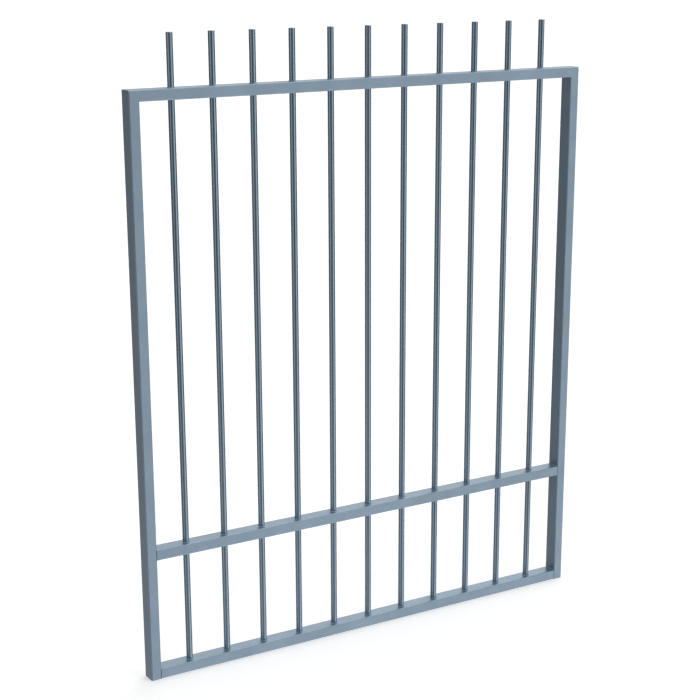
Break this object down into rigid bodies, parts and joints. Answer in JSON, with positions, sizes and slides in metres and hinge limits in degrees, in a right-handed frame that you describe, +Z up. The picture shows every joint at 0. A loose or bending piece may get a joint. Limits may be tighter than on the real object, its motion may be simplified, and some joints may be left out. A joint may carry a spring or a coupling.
{
  "type": "garden gate",
  "caption": "Single-leaf steel garden gate: box-section frame, round upright bars standing proud of the top rail, and lift-off hinges that bolt to a post.",
  "frame": {"origin": "midway between the lower hinge's two bolt holes, on the face of its plate that meets the post", "axes": "+Z up; the shut leaf lies along X with its front towards -Y; +X points into the post"},
  "size_m": [0.99, 0.065, 1.184],
  "materials": {
    "frame_paint": "satin",
    "bar_paint": "semi-gloss",
    "hinge_zinc": "zinc plated",
    "pin_steel": "ground",
    "washer_brass": "satin"
  },
  "bodies": {
    "post_side": {"lower_hinge_plate": "hinge_zinc", "lower_hinge_pin": "pin_steel", "lower_hinge_washer": "washer_brass", "upper_hinge_plate": "hinge_zinc", "upper_hinge_pin": "pin_steel", "upper_hinge_washer": "washer_brass"},
    "leaf": {"latch_stile": "frame_paint", "hinge_stile": "frame_paint", "top_rail": "frame_paint", "mid_rail": "frame_paint", "bottom_rail": "frame_paint", "latch_stile_cap": "frame_paint", "hinge_stile_cap": "frame_paint", "bar_01": "bar_paint", "bar_02": "bar_paint", "bar_03": "bar_paint", "bar_04": "bar_paint", "bar_05": "bar_paint", "bar_06": "bar_paint", "bar_07": "bar_paint", "bar_08": "bar_paint", "bar_09": "bar_paint", "bar_10": "bar_paint", "bar_11": "bar_paint", "lower_hinge_leaf": "frame_paint", "upper_hinge_leaf": "frame_paint"}
  },
  "joints": [
    {"name": "swing", "type": "hinge", "parent": "post_side", "child": "leaf", "pos_m": [-0.011, -0.018, 0], "axis": [0, 0, -1], "range_deg": [0, 95]}
  ]
}
